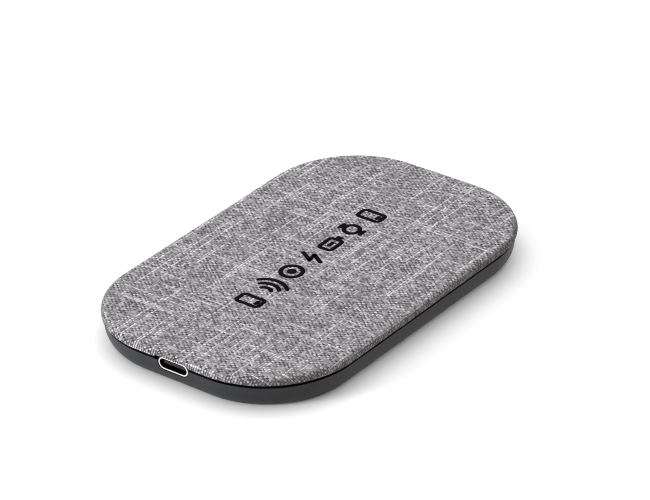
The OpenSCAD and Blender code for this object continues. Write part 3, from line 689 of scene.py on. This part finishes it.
# Moulded, sintered and rubber parts: base and speckle are colours; grain is its size in mm,
# relief its height in m
moulded = {
    "tray_plastic": {"base": (0.009, 0.0095, 0.0105), "speckle": (0.018, 0.019, 0.021), "share": 0.5,
                     "gloss": 0.45, "uneven": 0.12, "grain": 0.11, "relief": 0.00001, "specular": 0.3},
    "shell_plastic": {"base": (0.012, 0.012, 0.012), "speckle": (0.02, 0.02, 0.02), "share": 0.4,
                      "gloss": 0.6, "uneven": 0.1, "grain": 0.16, "relief": 0.00001, "specular": 0.4},
    "foot_rubber": {"base": (0.018, 0.018, 0.018), "speckle": (0.045, 0.044, 0.042), "share": 0.35,
                    "gloss": 0.78, "uneven": 0.12, "grain": 0.22, "relief": 0.00003, "specular": 0.3},
    "insulator": {"base": (0.006, 0.006, 0.006), "speckle": (0.01, 0.01, 0.01), "share": 0.3,
                  "gloss": 0.5, "uneven": 0.08, "grain": 0.08, "relief": 0.000004, "specular": 0.3},
    "chip_body": {"base": (0.014, 0.014, 0.015), "speckle": (0.035, 0.035, 0.037), "share": 0.4,
                  "gloss": 0.55, "uneven": 0.12, "grain": 0.07, "relief": 0.000006, "specular": 0.4},
    "inductor_body": {"base": (0.11, 0.11, 0.115), "speckle": (0.23, 0.225, 0.22), "share": 0.55,
                      "gloss": 0.65, "uneven": 0.15, "grain": 0.12, "relief": 0.00002, "specular": 0.4},
    "ferrite": {"base": (0.035, 0.035, 0.038), "speckle": (0.085, 0.083, 0.085), "share": 0.5,
                "gloss": 0.45, "uneven": 0.2, "grain": 0.3, "relief": 0.000012, "specular": 0.5},
    "capacitor_ceramic": {"base": (0.36, 0.22, 0.12), "speckle": (0.5, 0.36, 0.24), "share": 0.45,
                          "gloss": 0.35, "uneven": 0.12, "grain": 0.1, "relief": 0.000004, "specular": 0.5},
    "bead": {"base": (0.008, 0.008, 0.009), "speckle": (0.02, 0.02, 0.021), "share": 0.25,
             "gloss": 0.15, "uneven": 0.08, "grain": 0.3, "relief": 0.000008, "specular": 0.5},
    "sleeving": {"base": (0.72, 0.72, 0.7), "speckle": (0.82, 0.82, 0.8), "share": 0.4,
                 "gloss": 0.4, "uneven": 0.15, "grain": 0.25, "relief": 0.000005, "specular": 0.5},
}


def makeMoulded(name, values):
    material, tree, shader = newMaterial(name, Specular_IOR_Level=values["specular"])
    grain = placeGroup(tree, grainGroup, Place=millimetres(tree), Grain_Size=values["grain"],
                       Gloss=values["gloss"], Unevenness=values["uneven"]).outputs
    fine = ramp(tree, grain["Height"], 0.5, 0.68, 0.0, values["share"])
    slow = ramp(tree, grain["Patches"], 0.35, 0.75, 0.0, values["share"])
    share = calc(tree, "MAXIMUM", fine, slow)
    tree.links.new(blendTones(tree, share, values["base"], values["speckle"]), shader.inputs["Base Color"])
    tree.links.new(grain["Roughness"], shader.inputs["Roughness"])
    addBump(tree, shader, grain["Height"], values["relief"])
    return material


# Metal parts: line is the width of the drawn lines in mm, relief their height in m
metals = {
    "socket_steel": {"base": (0.86, 0.86, 0.85), "stain": (0.74, 0.73, 0.72), "gloss": 0.32,
                     "line": 0.06, "relief": 0.000003},
    "contact_gold": {"base": (0.85, 0.62, 0.27), "stain": (0.7, 0.46, 0.2), "gloss": 0.25,
                     "line": 0.04, "relief": 0.000002},
    "tin": {"base": (0.74, 0.74, 0.72), "stain": (0.5, 0.5, 0.49), "gloss": 0.34,
            "line": 0.2, "relief": 0.00001},
    "screw_steel": {"base": (0.55, 0.55, 0.54), "stain": (0.34, 0.34, 0.35), "gloss": 0.32,
                    "line": 0.1, "relief": 0.000006},
}

# In mm: shadeStart and shadeFull are the depths behind the socket's mouth where the painted shade inside
# its slot begins and is full, height is the shell's own, and wall is how far the inside stands in from the
# shell's outline; inside is the painted shade's colour
socketDepth = {"shadeStart": 0.08, "shadeFull": 0.5, "height": 3.16, "wall": 0.2, "inside": (0.02, 0.02, 0.022)}


def paintedSocketShade(tree, place, colour, values):
    # Inside the shell's slot the metal gets a painted shade a little way in from its mouth
    low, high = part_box("usb_shell")
    radius = values["height"] / 2
    split = linked(tree, "ShaderNodeSeparateXYZ", Vector=place).outputs
    depth = calc(tree, "SUBTRACT", split["Y"], low.y / mm)
    sideways = calc(tree, "SUBTRACT", calc(tree, "ABSOLUTE", split["X"]), high.x / mm - radius)
    height = calc(tree, "SUBTRACT", split["Z"], high.z / mm - radius)
    reach = length(tree, together(tree, calc(tree, "MAXIMUM", sideways, 0.0), height))
    inner = calc(tree, "LESS_THAN", reach, radius - values["wall"])
    share = calc(tree, "MULTIPLY", ramp(tree, depth, values["shadeStart"], values["shadeFull"]), inner)
    return blendTones(tree, share, colour, values["inside"])


def makeMetal(name, values):
    material, tree, shader = newMaterial(name, Metallic=1.0)
    place = millimetres(tree)
    drawn = placeGroup(
        tree, brushGroup, Place=place, Line_Width=values["line"], Gloss=values["gloss"]).outputs
    stains = ramp(tree, noise(tree, place, 0.7, 3.0, flat=False), 0.45, 0.7)
    colour = blendTones(tree, stains, values["base"], values["stain"])
    if name == "socket_steel":
        colour = paintedSocketShade(tree, place, colour, socketDepth)
    tree.links.new(colour, shader.inputs["Base Color"])
    tree.links.new(drawn["Roughness"], shader.inputs["Roughness"])
    addBump(tree, shader, drawn["Height"], values["relief"])
    return material


# Litz: grooveShade is the colour of painted shade between the strands, strand is the width of a stripe in mm,
# and lay how far it leans
litz = {
    "base": (0.72, 0.3, 0.12), "grooveShade": (0.22, 0.07, 0.025), "strand": 0.2, "lay": 0.55, "relief": 0.00004,
}


def makeLitzMaterial(values):
    # Enamelled strands laid round the bundle: stripes that lean across the wire, from the way round
    # the coil (angle times radius) plus the height and the radius, both in mm
    material, tree, shader = newMaterial("litzCopper", Metallic=0.85, Roughness=0.35)
    place = millimetres(tree)
    split = linked(tree, "ShaderNodeSeparateXYZ", Vector=place).outputs
    radius = length(tree, together(tree, split["X"], split["Y"]))
    way = calc(tree, "MULTIPLY", calc(tree, "ARCTAN2", split["Y"], split["X"]), radius)
    leaning = calc(tree, "MULTIPLY_ADD", way, values["lay"], calc(tree, "ADD", radius, split["Z"]))
    stripe = calc(tree, "SINE", calc(tree, "MULTIPLY", leaning, 2 * math.pi / values["strand"]))
    stripe = calc(tree, "MULTIPLY_ADD", stripe, 0.5, 0.5)
    worn = calc(tree, "MULTIPLY", noise(tree, place, 1.4, 3.0, flat=False), 0.5)
    # painted shade in the grooves between the strands, less of it in random patches
    share = calc(tree, "ADD", ramp(tree, stripe, 0.1, 0.6), worn, clamp=True)
    tree.links.new(blendTones(tree, share, values["grooveShade"], values["base"]), shader.inputs["Base Color"])
    addBump(tree, shader, stripe, values["relief"])
    return material


foam = {"skin": (0.06, 0.06, 0.062), "poreShade": (0.01, 0.01, 0.01), "cells": 2.6, "relief": 0.00012}


def makeFoamMaterial(values):
    material, tree, shader = newMaterial("openFoam", Roughness=0.95, Specular_IOR_Level=0.15)
    place = millimetres(tree)
    cells = linked(tree, "ShaderNodeTexVoronoi", Vector=place, Scale=values["cells"]).outputs["Distance"]
    walls = ramp(tree, cells, 0.2, 0.7)
    patchy = calc(tree, "MULTIPLY", walls, calc(tree, "ADD", noise(tree, place, 0.5, 2.0, flat=False), 0.4))
    # painted shade: the pores between the cell walls blend towards a near-black shade colour
    tree.links.new(blendTones(tree, patchy, values["poreShade"], values["skin"]), shader.inputs["Base Color"])
    addBump(tree, shader, walls, values["relief"])
    return material


film = {"base": (0.62, 0.55, 0.38), "bubble": (0.76, 0.7, 0.55), "relief": 0.00003}


def makeFilmMaterial(values):
    material, tree, shader = newMaterial("adhesiveFilm", Coat_Weight=0.3, Coat_Roughness=0.2)
    place = millimetres(tree)
    creases = noise(tree, place, 0.35, 4.0, 0.6, flat=False)
    bubbles = ramp(tree, noise(tree, place, 1.1, 2.0, flat=False), 0.58, 0.68)
    tree.links.new(blendTones(tree, bubbles, values["base"], values["bubble"]), shader.inputs["Base Color"])
    tree.links.new(ramp(tree, creases, 0.3, 0.7, 0.25, 0.5), shader.inputs["Roughness"])
    addBump(tree, shader, creases, values["relief"])
    return material


# Board: grid is a square's side in mm; tracks and vias are measured in squares, and the barred values
# are the shares of squares that have no track along X, none along Y and no via
board = {
    "mask": (0.008, 0.075, 0.03), "copper": (0.03, 0.19, 0.075), "plated": (0.6, 0.55, 0.42),
    "grid": 0.9, "trackShare": 0.3, "viaRadius": 0.16, "relief": 0.00004,
    "barredX": 0.45, "barredY": 0.72, "barredVia": 0.86,
}


def makeBoardMaterial(values):
    # Tracks under the solder mask: the board is cut into squares, and each square's random number
    # says whether a track crosses it along X, along Y, or not at all; some squares hold a via
    material, tree, shader = newMaterial("boardMask", Coat_Weight=0.4, Coat_Roughness=0.15)
    place = millimetres(tree)
    squares = vectorCalc(tree, "DIVIDE", place, (values["grid"],) * 3)
    corner = vectorCalc(tree, "FLOOR", squares)
    within = vectorCalc(tree, "FRACTION", squares)
    centred = vectorCalc(tree, "SUBTRACT", within, (0.5,) * 3)
    split = linked(tree, "ShaderNodeSeparateXYZ", Vector=centred).outputs
    pick = squareRandom(tree, corner)
    long = vectorCalc(tree, "MULTIPLY", corner, (0.12, 1.0, 0.0))
    rows = squareRandom(tree, vectorCalc(tree, "FLOOR", long))
    alongX = calc(tree, "LESS_THAN", calc(tree, "ABSOLUTE", split["Y"]), values["trackShare"] / 2)
    alongY = calc(tree, "LESS_THAN", calc(tree, "ABSOLUTE", split["X"]), values["trackShare"] / 2)
    alongX = calc(tree, "MULTIPLY", alongX, calc(tree, "GREATER_THAN", rows, values["barredX"]))
    alongY = calc(tree, "MULTIPLY", alongY, calc(tree, "GREATER_THAN", pick, values["barredY"]))
    track = calc(tree, "MAXIMUM", alongX, alongY)
    middle = length(tree, together(tree, split["X"], split["Y"]))
    via = calc(tree, "LESS_THAN", middle, values["viaRadius"])
    via = calc(tree, "MULTIPLY", via, calc(tree, "GREATER_THAN", pick, values["barredVia"]))
    colour = blendTones(tree, track, values["mask"], values["copper"])
    tree.links.new(blendTones(tree, via, colour, values["plated"]), shader.inputs["Base Color"])
    gloss = noise(tree, place, 0.6, 3.0, flat=False)
    tree.links.new(ramp(tree, gloss, 0.3, 0.7, 0.25, 0.42), shader.inputs["Roughness"])
    addBump(tree, shader, calc(tree, "SUBTRACT", track, via), values["relief"], 0.6)
    return material


finishes = {name: makeMoulded(name, values) for name, values in moulded.items()}
finishes.update({name: makeMetal(name, values) for name, values in metals.items()})
finishes.update({
    "cloth": clothMaterial, "litz_copper": makeLitzMaterial(litz), "foam": makeFoamMaterial(foam),
    "film": makeFilmMaterial(film), "board": makeBoardMaterial(board),
})
for subpart in frame["record"]["subparts"]:
    part = nodes[subpart["node"]]
    part.data.materials.clear()
    part.data.materials.append(finishes[subpart["material_slot"]])
print("finishes ready:", len(finishes), "materials")
